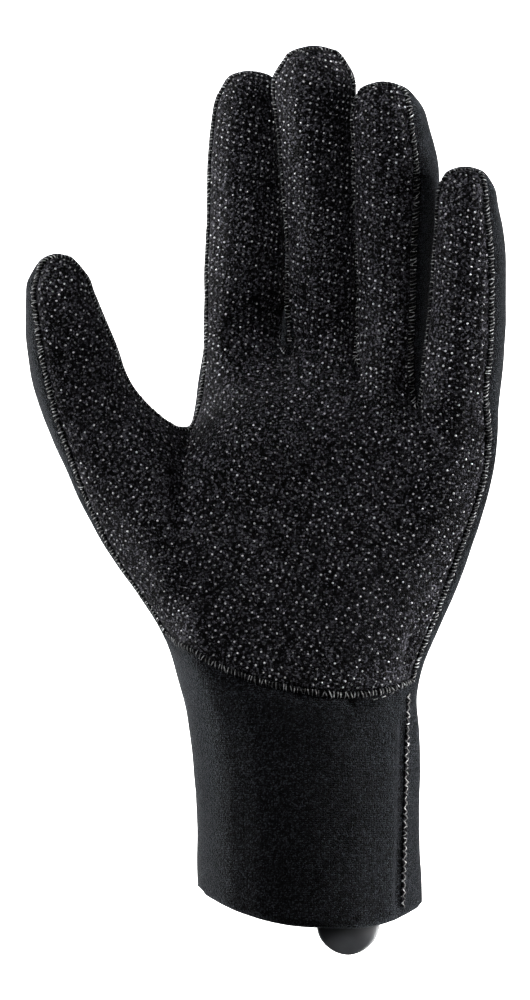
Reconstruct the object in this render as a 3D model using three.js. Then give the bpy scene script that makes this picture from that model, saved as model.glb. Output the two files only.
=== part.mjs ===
// A neoprene cycling glove for the left hand, filled out as if worn.
// Millimetres. +Z runs along the fingers, the palm faces -Y and the thumb points to -X.
// The origin is the middle of the cuff's mouth, on the level of its lowest edge.
import * as THREE from "three";

const { degToRad, lerp } = THREE.MathUtils;

// Driving sizes
const WALL = 2.6;
const SEAM_GAP = 0.5;
const FIT_ROUNDS = 24;

// Lengthwise lines round a finger: two on the palm side between the seams, then some from the right seam
// round the back to the left seam, by their part of the way.
const PALM_LINES = [1 / 3, 2 / 3];
const FINGER_BACK_LINES = [0.17, 0.37, 0.63, 0.83];
const THUMB_BACK_LINES = [0.15, 0.29, 0.43, 0.57, 0.71, 0.85];
// A point whose faces cancel out to less than this part of their area lies in the valley between two fingers.
const VALLEY = 0.65;

// Sections across each finger, from the first one above the palm to the last one below the dome:
// middle of the section, half width, half depth, slope up to the right in degrees, and the angles of the left
// and the right seam from the front.
// The finger's first row is its root, whose outer points the palm shares.
// It bends forward by bend from root to tip, from the depth back at its root. Its tip is a dome, whose last
// ring of points lies at the angle dome from the top: a small angle makes a pointed tip.
const FINGERS = [
  {
    name: "index",
    back: 8.5,
    bend: 6,
    tip: { x: -18.8, z: 255, dome: 38 },
    rows: [
      { x: -19.4, z: 172.8, wide: 12.6, deep: 11.2, left: -78, right: 78 },
      { x: -19.4, z: 183.3, wide: 12.5, deep: 11, left: -78, right: 78 },
      { x: -19.5, z: 195.3, wide: 12.4, deep: 10.8, left: -78, right: 78 },
      { x: -19.4, z: 207.9, wide: 12.1, deep: 10.6, left: -78, right: 78 },
      { x: -19.6, z: 220.5, wide: 11.5, deep: 10.2, left: -78, right: 78 },
      { x: -19.8, z: 231.9, wide: 10.8, deep: 9.8, left: -78, right: 78 },
      { x: -19.7, z: 241.5, wide: 10.2, deep: 9.2, left: -76, right: 78 },
    ],
  },
  {
    name: "middle",
    back: 1,
    bend: 12.5,
    tip: { x: 1.2, z: 263.1, dome: 38 },
    rows: [
      { x: 3.4, z: 170.1, wide: 10.9, deep: 11.2, lean: -10, left: -81, right: 78 },
      { x: 3.4, z: 181.4, wide: 10.8, deep: 11.2, lean: -10, left: -81, right: 78 },
      { x: 3.4, z: 196, wide: 10.9, deep: 11.2, lean: -4, left: -81, right: 78 },
      { x: 3.3, z: 209.7, wide: 11.2, deep: 11.2, left: -81, right: 78 },
      { x: 2.7, z: 222.9, wide: 11.5, deep: 11.2, left: -81, right: 78 },
      { x: 1.6, z: 237.3, wide: 11.8, deep: 11, left: -81, right: 79 },
      { x: 0.8, z: 249.3, wide: 12.3, deep: 10.4, left: -81, right: 80 },
    ],
  },
  {
    name: "ring",
    back: -5.5,
    bend: 13,
    tip: { x: 21.6, z: 252.6, dome: 38 },
    rows: [
      { x: 24.3, z: 162, wide: 12.4, deep: 10.8, lean: -30, left: -86, right: 30 },
      { x: 24.6, z: 173.6, wide: 12.4, deep: 10.8, lean: -30, left: -86, right: 30 },
      { x: 25, z: 188, wide: 11.7, deep: 10.8, lean: -17, left: -86, right: 30 },
      { x: 25.1, z: 202.5, wide: 12.2, deep: 10.8, lean: -6, left: -86, right: 28 },
      { x: 25.3, z: 215.7, wide: 12.7, deep: 10.8, left: -86, right: 28 },
      { x: 25, z: 227.7, wide: 12.8, deep: 10.6, left: -84, right: 30 },
      { x: 24.3, z: 237.9, wide: 11.8, deep: 10, left: -80, right: 34 },
    ],
  },
  {
    name: "little",
    back: -15.5,
    bend: 8.5,
    tip: { x: 46.2, z: 226.8, dome: 38 },
    rows: [
      { x: 43.9, z: 156.4, wide: 12.4, deep: 10.4, lean: 6, left: -80, right: 42 },
      { x: 45.4, z: 168.9, wide: 12.2, deep: 10.4, lean: 6, left: -80, right: 40 },
      { x: 46.5, z: 182.7, wide: 11.7, deep: 10.3, lean: 2, left: -80, right: 38 },
      { x: 47, z: 195.9, wide: 11.2, deep: 10, left: -80, right: 37 },
      { x: 47.1, z: 206.1, wide: 10.6, deep: 9.6, left: -79, right: 37 },
      { x: 46.7, z: 214.8, wide: 9.8, deep: 9, left: -77, right: 40 },
    ],
  },
];

// The thumb's sections fan out from its crotch, so the lower ones slope steeply.
const THUMB = {
  name: "thumb",
  back: -1,
  bend: 14,
  tip: { x: -76.2, z: 201, dome: 29 },
  rows: [
    { x: -49.7, z: 128.1, wide: 22.9, deep: 16, lean: 71.7, left: -74, right: 84 },
    { x: -58, z: 139.2, wide: 18.3, deep: 14.4, lean: 58, left: -66, right: 82 },
    { x: -64.6, z: 150.9, wide: 15.2, deep: 13.2, lean: 43.4, left: -55, right: 79 },
    { x: -69.9, z: 164.2, wide: 13.9, deep: 12.2, lean: 23.5, left: -45, right: 76 },
    { x: -72.9, z: 177.5, wide: 12.4, deep: 11, lean: 4.8, left: -38, right: 76 },
    { x: -74.9, z: 188.4, wide: 10.2, deep: 9.2, lean: 0, left: -36, right: 76 },
  ],
};

// Front crotch between each two fingers.
const CROTCHES = [
  { x: -7.8, y: -1, z: 171.9 },
  { x: 13.8, y: -6.5, z: 168 },
  { x: 31.2, y: -14, z: 155.4 },
];
const WEB_DROP = 2.5;
const KNUCKLE_DROP = 4;

// Rows round the palm and cuff, from the one below the knuckles to the cuff's rim: the left and right
// outline, how far the front and the back sag between them, the middle's depth, how far the little
// finger's side comes forward, and the depth of the front and back.
const ROWS = {
  knuckle: { left: [-33.2, 160.5], right: [55.2, 144], dip: 0, rise: 0, y: -2, cup: 10, front: 14.5, back: 13.5 },
  crotch: { left: [-35.6, 148.6], right: [53, 131], dip: -1, rise: 0, y: -2, cup: 8, front: 15.5, back: 15 },
  web: { left: [-62, 130], right: [48.3, 115], dip: -2, rise: 0, y: -2, cup: 4.5, front: 17, back: 17, edge: -0.62 },
  heel: { left: [-62, 110], right: [41, 95], dip: -4, rise: -2, y: -1, cup: 1.5, front: 18.5, back: 18, edge: -0.64 },
  wrist: { left: [-44.4, 87.9], right: [32.6, 73.5], dip: -10, rise: -6, y: 0, cup: 0, front: 20, back: 20.5 },
  cuffTop: { left: [-37.2, 64], right: [32.2, 60], dip: -2, rise: -2, y: 0, cup: 0, front: 20.8, back: 21 },
  cuffMiddle: { left: [-34.3, 44], right: [32.4, 42], dip: -1, rise: 0, y: 0, cup: 0, front: 21.6, back: 21.8 },
  cuffLow: { left: [-33.6, 24], right: [32.6, 23], dip: -2, rise: 0, y: 0, cup: 0, front: 22.2, back: 22.2 },
  rim: { left: [-33.3, 9], right: [33.2, 5.4], dip: -7.8, rise: -1, y: 0, cup: 0, front: 22.6, back: 22.6 },
};
// Rows that the thumb's root takes out of the palm's left edge.
const THUMB_TOP = "crotch";
const THUMB_MIDDLE = ["web", "heel"];
const THUMB_BOTTOM = "wrist";
// Seam between palm and cuff.
const PALM_END = "wrist";
// How square the palm's outline is: 2 is an ellipse.
const PALM_SQUARE = 2.5;

// Columns round the palm, seen from above anticlockwise: thirteen on the front, one at the right side,
// five on the back and one at the left side. The front's run from the row's edge to FRONT_END and the back's
// from BACK_END to near the edge, on a scale of -1 to 1 across the row. Their places are parts of that way.
const ROW_EDGE = -0.99;
const FRONT_END = 0.95;
const SEAM_COLUMNS = [0, 0.273, 0.531, 0.737, 1];
const BACK_END = 0.8;
const BACK_EDGE = 0.83;
const BACK_COLUMNS = [0, 0.235, 0.475, 0.753, 1];
const SIDE_BACK = 0.3;
const RIGHT_SIDE = 13;
const LEFT_SIDE = 19;

// Pull tab inside the front wall
const TAB_MIDDLE = 11.1;
const TAB_HALF_WIDTH = 8.9;
const TAB_TOP = 12;
const TAB_BELOW_RIM = 9;
const TAB_THICK = 1.8;
const TAB_CLEAR = 0.7;

// A surface of four-sided faces, each tagged with its panel.
const cage = { points: [], faces: [], panels: [] };

function addPoint(x, y, z) {
  return cage.points.push(new THREE.Vector3(x, y, z)) - 1;
}

function addFace(panel, ...corners) {
  cage.faces.push(corners);
  cage.panels.push(panel);
}

// Axes of a section that slopes by lean and tilts forward: across, towards the palm side, along the finger.
function sectionAxes(lean, tilt) {
  const l = degToRad(lean);
  const across = new THREE.Vector3(Math.cos(l), 0, Math.sin(l));
  const up = new THREE.Vector3(-Math.sin(l), 0, Math.cos(l));
  const front = new THREE.Vector3(0, -Math.cos(tilt), 0).addScaledVector(up, -Math.sin(tilt));
  const along = new THREE.Vector3(0, -Math.sin(tilt), 0).addScaledVector(up, Math.cos(tilt));
  return { across, front, along };
}

// Depth of a finger's middle and its forward tilt, from 0 at the root to 1 at the tip.
function bendAt(finger, part, length) {
  return { y: finger.back - finger.bend * part ** 2, tilt: Math.atan((2 * finger.bend * part) / length) };
}

function sectionPoint(middle, axes, right, front, up) {
  return middle
    .clone()
    .addScaledVector(axes.across, right)
    .addScaledVector(axes.front, front)
    .addScaledVector(axes.along, up);
}

// Angles of the lines round a section, from the first one right of the left seam.
function lineAngles(row, backLines) {
  const palm = PALM_LINES.map((part) => lerp(row.left, row.right, part));
  const back = backLines.map((part) => lerp(row.right, row.left + 360, part));
  return [...palm, row.right, ...back, row.left + 360].map(degToRad);
}

// The ring of points round one section.
function sectionRing(finger, row, part, length, backLines) {
  const { y, tilt } = bendAt(finger, part, length);
  const axes = sectionAxes(row.lean ?? 0, tilt);
  const middle = new THREE.Vector3(row.x, y, row.z);
  return lineAngles(row, backLines).map((a) => {
    return sectionPoint(middle, axes, row.wide * Math.sin(a), row.deep * Math.cos(a), 0);
  });
}

// The last ring, up on the dome that closes the finger: its lines run over the tip from side to side.
function domeRing(finger, length, backLines) {
  const row = finger.rows.at(-1);
  const { y, tilt } = bendAt(finger, 1, length);
  const middle = new THREE.Vector3(row.x, y, row.z);
  const height = (finger.tip.z - row.z) / Math.cos(tilt);
  const axes = sectionAxes(row.lean ?? 0, tilt);
  const turn = degToRad((row.left + row.right) / 2);
  const dome = degToRad(finger.tip.dome);
  return lineAngles(row, backLines).map((angle) => {
    const a = angle - turn;
    const side = row.wide * Math.sin(a) * Math.sin(dome);
    const front = row.deep * Math.cos(a);
    const rise = Math.abs(Math.sin(a)) * Math.cos(dome);
    const right = side * Math.cos(turn) + front * Math.sin(turn) + (finger.tip.x - row.x) * rise;
    const forward = front * Math.cos(turn) - side * Math.sin(turn);
    return sectionPoint(middle, axes, right, forward, height * rise);
  });
}

// Faces between the finger's rings, from its root up, and over the dome from side to side.
function skinFinger(finger, root, backLines, firstRow) {
  const length = Math.hypot(finger.tip.x - finger.rows[0].x, finger.tip.z - finger.rows[0].z);
  const put = (points) => points.map((p) => addPoint(p.x, p.y, p.z));
  const sections = finger.rows.slice(firstRow);
  const rings = sections.map((row, i) => put(sectionRing(finger, row, (i + 1) / sections.length, length, backLines)));
  rings.unshift(root);
  rings.push(put(domeRing(finger, length, backLines)));
  const count = root.length;
  const palmFaces = [count - 1, 0, 1];
  for (let r = 1; r < rings.length; r++) {
    for (let j = 0; j < count; j++) {
      const k = (j + 1) % count;
      const panel = palmFaces.includes(j) ? "palm" : "back";
      addFace(panel, rings[r - 1][j], rings[r - 1][k], rings[r][k], rings[r][j]);
    }
  }
  const last = rings.at(-1);
  const at = (j) => last[(j + count) % count];
  for (let step = 0; step < count / 2 - 1; step++) {
    addFace(step === 0 ? "palm" : "back", at(-step), at(step + 1), at(step + 2), at(-step - 1));
  }
}

// One point of a palm or cuff row. side is -1 on the front, 1 on the back, and 0 between them.
function rowPoint(row, across, side) {
  const middle = (row.left[0] + row.right[0]) / 2;
  const half = (row.right[0] - row.left[0]) / 2;
  const bulge = (1 - Math.abs(across) ** PALM_SQUARE) ** (1 / PALM_SQUARE);
  const depth = side < 0 ? row.front * bulge : row.back * Math.max(bulge, SIDE_BACK);
  const sag = (side < 0 ? row.dip : row.rise) * (1 - Math.abs(across) ** PALM_SQUARE);
  return [
    middle + half * across,
    row.y - row.cup * across + Math.sign(side) * depth,
    lerp(row.left[1], row.right[1], (across + 1) / 2) + sag,
  ];
}

// Places across the front: the five seam columns and two between each pair of them.
function frontColumns(edge) {
  const seams = SEAM_COLUMNS.map((part) => lerp(edge, FRONT_END, part));
  return seams.flatMap((a, i) => {
    const b = seams[i + 1];
    return b === undefined ? [a] : [a, lerp(a, b, 1 / 3), lerp(a, b, 2 / 3)];
  });
}

function addPalmRow(row) {
  const edge = row.edge ?? ROW_EDGE;
  const front = frontColumns(edge).map((across) => addPoint(...rowPoint(row, across, -1)));
  const right = addPoint(...rowPoint(row, 1, 0));
  const backColumns = BACK_COLUMNS.map((part) => lerp(BACK_END, edge * BACK_EDGE, part));
  const back = backColumns.map((across) => addPoint(...rowPoint(row, across, 1)));
  const left = addPoint(...rowPoint(row, -1, 1));
  return [...front, right, ...back, left];
}

// The fingers' roots side by side: neighbours share the crotch, the web and the knuckle's back between them.
function addRoots() {
  const rings = FINGERS.map((f) => {
    const length = f.tip.z - f.rows[0].z;
    return sectionRing(f, f.rows[0], 0, length, FINGER_BACK_LINES);
  });
  const put = (p) => addPoint(p.x, p.y, p.z);
  const shared = CROTCHES.map((crotch, i) => {
    const between = (right, left) => rings[i][right].clone().add(rings[i + 1][left]).multiplyScalar(0.5);
    const web = between(3, 6);
    const back = between(4, 5);
    return {
      front: addPoint(crotch.x, crotch.y, crotch.z),
      web: addPoint(web.x, web.y, crotch.z - WEB_DROP),
      back: addPoint(back.x, back.y, crotch.z - KNUCKLE_DROP),
    };
  });
  const ends = {
    left: { front: put(rings[0][7]), web: put(rings[0][6]), back: put(rings[0][5]) },
    right: { front: put(rings[3][2]), web: put(rings[3][3]), back: put(rings[3][4]) },
  };
  const sides = [ends.left, ...shared, ends.right];
  const roots = rings.map((ring, i) => {
    const l = sides[i];
    const r = sides[i + 1];
    return [put(ring[0]), put(ring[1]), r.front, r.web, r.back, l.back, l.web, l.front];
  });
  const front = roots.flatMap((root) => [root[7], root[0], root[1]]);
  const loop = [...front, ends.right.front, ends.right.web, ...sides.map((s) => s.back).reverse(), ends.left.web];
  return { roots, loop };
}

// Palm and cuff, row by row, leaving out the thumb's root at the left.
function skinPalm(loop) {
  const names = Object.keys(ROWS);
  const rows = { roots: loop };
  names.forEach((name) => {
    rows[name] = addPalmRow(ROWS[name]);
  });
  const order = ["roots", ...names];
  const hole = [THUMB_TOP, ...THUMB_MIDDLE];
  for (let r = 1; r < order.length; r++) {
    const upper = rows[order[r - 1]];
    const lower = rows[order[r]];
    const inPalm = order.indexOf(PALM_END) >= r;
    for (let j = 0; j < upper.length; j++) {
      const k = (j + 1) % upper.length;
      if (hole.includes(order[r - 1]) && (k === LEFT_SIDE || j === LEFT_SIDE)) continue;
      const panel = inPalm && k < RIGHT_SIDE && j < RIGHT_SIDE && k > 0 ? "palm" : "back";
      addFace(panel, lower[j], lower[k], upper[k], upper[j]);
    }
  }
  return rows;
}

// The thumb grows from the hole that is left between its top and bottom rows.
function thumbRoot(rows) {
  const top = rows[THUMB_TOP];
  const [upper, lower] = THUMB_MIDDLE.map((name) => rows[name]);
  const bottom = rows[THUMB_BOTTOM];
  const back = LEFT_SIDE - 1;
  return [
    lower[0], upper[0], top[0], top[LEFT_SIDE], top[back],
    upper[back], lower[back], bottom[back], bottom[LEFT_SIDE], bottom[0],
  ];
}

// Drops the points that no face uses.
function compact(surface) {
  const used = [...new Set(surface.faces.flat())].sort((a, b) => a - b);
  const place = new Map(used.map((old, i) => [old, i]));
  surface.points = used.map((i) => surface.points[i]);
  surface.faces = surface.faces.map((face) => face.map((i) => place.get(i)));
}

// Edges with the faces on either side, by their two corners in rising order.
function edgesOf(faces) {
  const edges = new Map();
  faces.forEach((face, f) => {
    face.forEach((a, i) => {
      const b = face[(i + 1) % face.length];
      const key = a < b ? `${a},${b}` : `${b},${a}`;
      if (!edges.has(key)) edges.set(key, { a: Math.min(a, b), b: Math.max(a, b), faces: [] });
      edges.get(key).faces.push(f);
    });
  });
  return edges;
}

// Neighbours of each point: along edges, across faces, and along the open rim.
function neighboursOf(surface) {
  const around = surface.points.map(() => ({ edges: [], corners: [], rim: [] }));
  edgesOf(surface.faces).forEach(({ a, b, faces }) => {
    around[a].edges.push(b);
    around[b].edges.push(a);
    if (faces.length === 1) {
      around[a].rim.push(b);
      around[b].rim.push(a);
    }
  });
  surface.faces.forEach((face) => face.forEach((p, i) => around[p].corners.push(face[(i + 2) % 4])));
  return around;
}

function sumOf(points, indices) {
  return indices.reduce((sum, i) => sum.add(points[i]), new THREE.Vector3());
}

// Where the smooth surface passes for each point of the cage.
function limitPoints(points, around) {
  return points.map((p, i) => {
    const { edges, corners, rim } = around[i];
    if (rim.length) return sumOf(points, rim).addScaledVector(p, 4).divideScalar(6);
    const n = edges.length;
    const limit = sumOf(points, edges).multiplyScalar(4).add(sumOf(points, corners));
    return limit.addScaledVector(p, n * n).divideScalar(n * (n + 5));
  });
}

// Moves the cage so that the smooth surface passes through its first points.
function fitCage(surface) {
  const wanted = surface.points.map((p) => p.clone());
  const around = neighboursOf(surface);
  for (let round = 0; round < FIT_ROUNDS; round++) {
    const limit = limitPoints(surface.points, around);
    surface.points.forEach((p, i) => p.add(wanted[i]).sub(limit[i]));
  }
}

// One step of Catmull and Clark's subdivision.
function subdivide(surface) {
  const { points, faces, panels } = surface;
  const around = neighboursOf(surface);
  const edges = edgesOf(faces);
  const centres = faces.map((face) => sumOf(points, face).divideScalar(4));
  const moved = points.map((p, i) => {
    const { edges: near, corners, rim } = around[i];
    if (rim.length) return sumOf(points, rim).addScaledVector(p, 6).divideScalar(8);
    const n = near.length;
    const ring = sumOf(points, near).multiplyScalar(1.5 / n).addScaledVector(sumOf(points, corners), 0.25 / n);
    return ring.addScaledVector(p, n - 1.75).divideScalar(n);
  });
  const next = { points: [...moved, ...centres], faces: [], panels: [] };
  const middles = new Map();
  edges.forEach((edge, key) => {
    const middle = points[edge.a].clone().add(points[edge.b]);
    if (edge.faces.length === 2) middle.add(centres[edge.faces[0]]).add(centres[edge.faces[1]]).multiplyScalar(0.5);
    middles.set(key, next.points.push(middle.multiplyScalar(0.5)) - 1);
  });
  const between = (a, b) => middles.get(a < b ? `${a},${b}` : `${b},${a}`);
  faces.forEach((face, f) => {
    face.forEach((corner, i) => {
      const before = face[(i + 3) % 4];
      const after = face[(i + 1) % 4];
      next.faces.push([corner, between(corner, after), points.length + f, between(before, corner)]);
      next.panels.push(panels[f]);
    });
  });
  return next;
}

// Which way is outwards at each point. In the valley between two fingers that is straight up.
function normalsOf(surface) {
  const normals = surface.points.map(() => new THREE.Vector3());
  const areas = surface.points.map(() => 0);
  surface.faces.forEach((face) => {
    const [a, b, c, d] = face.map((i) => surface.points[i]);
    const normal = c.clone().sub(a).cross(d.clone().sub(b));
    face.forEach((i) => {
      normals[i].add(normal);
      areas[i] += normal.length();
    });
  });
  return normals.map((n, i) => (n.length() < VALLEY * areas[i] ? new THREE.Vector3(0, 0, 1) : n.normalize()));
}

// For each seam point of a panel, the short way back from the seam into the panel.
function seamSetback(surface, seam, normals) {
  const setback = new Map();
  seam.forEach(([a, b]) => {
    const along = surface.points[b].clone().sub(surface.points[a]).normalize();
    [a, b].forEach((i) => {
      const inward = normals[i].clone().cross(along).normalize();
      setback.set(i, (setback.get(i) ?? new THREE.Vector3()).add(inward));
    });
  });
  setback.forEach((way) => way.normalize().multiplyScalar(SEAM_GAP / 2));
  return setback;
}

// A closed wall of one panel: its outside, its inside and the edge between them.
function panelGeometry(surface, panel) {
  const normals = normalsOf(surface);
  const faces = surface.faces.filter((_, f) => surface.panels[f] === panel);
  const whole = edgesOf(surface.faces);
  const edgeOf = (a, b) => whole.get(a < b ? `${a},${b}` : `${b},${a}`);
  const own = edgesOf(faces);
  const open = [];
  faces.forEach((face) => {
    face.forEach((a, i) => {
      const b = face[(i + 1) % 4];
      if (own.get(a < b ? `${a},${b}` : `${b},${a}`).faces.length === 1) open.push([a, b]);
    });
  });
  const seam = open.filter(([a, b]) => edgeOf(a, b).faces.length === 2);
  const setback = seamSetback(surface, seam, normals);
  const used = [...new Set(faces.flat())];
  const place = new Map(used.map((old, i) => [old, i]));
  const outside = used.map((i) => surface.points[i].clone().add(setback.get(i) ?? new THREE.Vector3()));
  const inside = used.map((i, at) => outside[at].clone().addScaledVector(normals[i], -WALL));
  const out = (i) => place.get(i);
  const inn = (i) => place.get(i) + used.length;
  const index = [];
  faces.forEach(([a, b, c, d]) => {
    index.push(out(a), out(b), out(c), out(a), out(c), out(d));
    index.push(inn(a), inn(c), inn(b), inn(a), inn(d), inn(c));
  });
  open.forEach(([a, b]) => {
    if (a < b) index.push(out(b), out(a), inn(b), out(a), inn(a), inn(b));
    else index.push(out(b), out(a), inn(a), out(b), inn(a), inn(b));
  });
  return new THREE.BufferGeometry().setFromPoints([...outside, ...inside]).setIndex(index);
}

// Depth of the front wall's inner face behind the rim, across the width.
function innerFront(x, z) {
  const low = ROWS.rim;
  const high = ROWS.cuffLow;
  const up = THREE.MathUtils.clamp(z / high.left[1], 0, 1);
  const half = (low.right[0] - low.left[0]) / 2;
  const bulge = (1 - Math.abs(x / half) ** PALM_SQUARE) ** (1 / PALM_SQUARE);
  return -lerp(low.front, high.front, up) * bulge + WALL;
}

// The tab is a tongue with a round end, curved like the wall in front of it.
function tabGeometry() {
  const across = 12;
  const outline = [];
  for (let i = 0; i <= 4; i++) outline.push({ z: lerp(TAB_TOP, 0, i / 4), half: TAB_HALF_WIDTH });
  for (let i = 1; i <= 8; i++) {
    const a = degToRad(84 * (i / 8));
    outline.push({ z: -TAB_BELOW_RIM * Math.sin(a), half: TAB_HALF_WIDTH * Math.cos(a) });
  }
  const points = [];
  [0, TAB_THICK].forEach((depth) => {
    outline.forEach(({ z, half }) => {
      for (let j = 0; j <= across; j++) {
        const x = TAB_MIDDLE + half * (2 * (j / across) - 1);
        points.push(new THREE.Vector3(x, innerFront(x, z) + TAB_CLEAR + depth, z));
      }
    });
  });
  const wide = across + 1;
  const side = outline.length * wide;
  const index = [];
  const quad = (a, b, c, d) => index.push(a, b, c, a, c, d);
  for (let i = 0; i < outline.length - 1; i++) {
    for (let j = 0; j < across; j++) {
      const a = i * wide + j;
      quad(a, a + wide, a + wide + 1, a + 1);
      quad(side + a, side + a + 1, side + a + wide + 1, side + a + wide);
    }
    const l = i * wide;
    const r = l + across;
    quad(l, side + l, side + l + wide, l + wide);
    quad(r, r + wide, side + r + wide, side + r);
  }
  const end = (outline.length - 1) * wide;
  for (let j = 0; j < across; j++) {
    quad(j, j + 1, side + j + 1, side + j);
    quad(end + j, side + end + j, side + end + j + 1, end + j + 1);
  }
  return new THREE.BufferGeometry().setFromPoints(points).setIndex(index);
}

function makeMesh(name, geometry, color, roughness) {
  geometry.computeVertexNormals();
  const mesh = new THREE.Mesh(geometry, new THREE.MeshStandardMaterial({ color, roughness, metalness: 0 }));
  mesh.name = name;
  return mesh;
}

const { roots, loop } = addRoots();
FINGERS.forEach((finger, i) => skinFinger(finger, roots[i], FINGER_BACK_LINES, 1));
const rows = skinPalm(loop);
skinFinger(THUMB, thumbRoot(rows), THUMB_BACK_LINES, 0);
compact(cage);
fitCage(cage);
const skin = subdivide(cage);
skin.points = limitPoints(skin.points, neighboursOf(skin));

const glove = new THREE.Group();
glove.add(makeMesh("palm_panel", panelGeometry(skin, "palm"), 0x141418, 0.85));
glove.add(makeMesh("back_panel", panelGeometry(skin, "back"), 0x1b1e22, 0.9));
glove.add(makeMesh("pull_tab", tabGeometry(), 0x101012, 0.6));
export default glove;
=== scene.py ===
"""The looks of a cycling glove: stretch cloth, raised overlocked seams, silicone dots and a rubber tab."""
from math import atan, cos, hypot, pi, radians, sin

import bpy
import numpy as np
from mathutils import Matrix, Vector, bvhtree, kdtree, noise


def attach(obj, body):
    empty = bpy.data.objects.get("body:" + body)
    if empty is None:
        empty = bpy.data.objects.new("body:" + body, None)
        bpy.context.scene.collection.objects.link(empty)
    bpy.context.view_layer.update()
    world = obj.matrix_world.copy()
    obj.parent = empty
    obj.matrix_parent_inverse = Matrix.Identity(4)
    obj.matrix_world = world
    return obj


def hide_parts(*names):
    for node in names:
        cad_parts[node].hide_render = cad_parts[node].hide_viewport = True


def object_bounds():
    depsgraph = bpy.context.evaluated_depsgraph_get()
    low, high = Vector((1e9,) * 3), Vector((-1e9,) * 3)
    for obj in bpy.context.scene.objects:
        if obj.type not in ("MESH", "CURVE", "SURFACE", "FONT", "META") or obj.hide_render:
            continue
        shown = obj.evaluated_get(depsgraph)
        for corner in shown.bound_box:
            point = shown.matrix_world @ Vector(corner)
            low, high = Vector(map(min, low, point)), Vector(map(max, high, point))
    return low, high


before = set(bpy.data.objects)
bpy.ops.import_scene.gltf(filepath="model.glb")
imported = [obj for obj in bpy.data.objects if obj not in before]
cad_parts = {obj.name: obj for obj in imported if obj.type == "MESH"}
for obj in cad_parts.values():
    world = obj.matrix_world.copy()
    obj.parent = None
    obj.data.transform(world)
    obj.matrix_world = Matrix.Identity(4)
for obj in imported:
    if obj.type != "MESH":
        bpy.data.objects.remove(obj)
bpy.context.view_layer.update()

# Driving sizes, in metres. +Z runs along the fingers, the palm faces -Y and the thumb points to -X. A point
# lies in the valley between two fingers where less than VALLEY of its faces' normals adds up.
WALL = 0.0026
PANEL_GAP = 0.0003
EDGE_ROUND = 0.0004
FINE_STEPS = 3
FIT_ROUNDS = 24
VALLEY = 0.65
TINY = 1e-12

# The seams: each is a ridge where two cloth edges stand up, held by thread that wraps round it.
SEAM_HALF_WIDTH = 0.00098
SEAM_HEIGHT = 0.00085
SEAM_SLANT = 0.0005
STITCH_PITCH = 0.00108
STITCH_WAVER = 0.34
STITCH_STRAY = 0.00042
THREAD_RADIUS = 0.00015
THREAD_RANGE = (0.75, 1.2)
THREAD_SIDES = 5
SEAM_PINCH = 0.0005
SEAM_PINCH_REACH = 0.0019
SEAM_SHOULDER = 0.55

# The ridge has RIDGE_STEPS steps from stitch to stitch and RIDGE_PROFILE points over it. At a stitch it is
# narrower and lower by a part of its size, and a notch runs along its top.
RIDGE_STEPS = 4
RIDGE_PROFILE = 9
RIDGE_SQUARE = 0.7
RIDGE_FOOT = -0.0006
PINCH_WIDE = 0.12
PINCH_HIGH = 0.2
NOTCH_DEPTH = 0.12
NOTCH_REACH = 0.3
# A stitch goes over it from one part of the half turn to another, by parts of its width and height.
STITCH_TURN = (0.04, 0.96)
STITCH_POINTS = 8
STITCH_WIDE = 0.9
STITCH_HIGH = 0.8
# Rounds that smooth a seam's line, and the outward direction along the long seam.
LINE_ROUNDS = 6
UP_ROUNDS = 30

# The side seam of the cuff is flatter, and its stitches slant.
SIDE_SEAM = [(0.0290, 0.0686), (0.0288, 0.062), (0.0283, 0.045), (0.0278, 0.025), (0.0273, 0.0052)]
SIDE_HALF_WIDTH = 0.0008
SIDE_HEIGHT = 0.0005
SIDE_PITCH = 0.0011
SIDE_SLANT = 0.0012
# A short running stitch at its top: its route, its pitch in steps, and the part of them that is thread.
RUNNING_STITCH = [(0.0185, 0.0672), (0.0235, 0.0688), (0.0272, 0.0712)]
RUNNING_PITCH = 0.0026
RUNNING_STEPS = 8
RUNNING_SHARE = 0.7
# A depth in front of the whole glove, from where a route is laid on it.
FRONT_OF_ALL = -0.2

# The dots lie in six-sided cells. DOT_RIGHT and DOT_UP lead to the next dot, CELL_RIGHT and CELL_UP to the
# next cell. On the fingers the pattern is turned.
DOT_RADIUS = 0.00035
DOT_HEIGHT = 0.00026
DOT_RINGS = ((1, -0.00008), (0.86, DOT_HEIGHT * 0.55), (0.5, DOT_HEIGHT * 0.9))
DOT_SIDES = 8
DOT_SIZES = (0.88, 1.1)
DOT_RIGHT = np.array((0.0027, 0.0009))
DOT_UP = np.array((0.0009, 0.0021))
CELL_RIGHT = np.array((0.0134, 0.0113))
CELL_UP = np.array((-0.0049, 0.0121))
CELL_RINGS = 3
FINGER_TURN = radians(17)
DOT_MARGIN = 0.0017
# A dot lies on the face with the nearest middle, within a reach of it, or past its edge by a small part.
FACE_REACH = 0.002
FACE_MARGIN = 0.15

# Lengthwise lines round a finger: two on the palm side between the seams, then some from the right seam
# round the back to the left seam, by their part of the way.
PALM_LINES = (1 / 3, 2 / 3)
FINGER_BACK_LINES = (0.17, 0.37, 0.63, 0.83)
THUMB_BACK_LINES = (0.15, 0.29, 0.43, 0.57, 0.71, 0.85)
# How wide the dots' pattern still is at the top of a finger's dome.
DOME_SPREAD = 0.35

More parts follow.
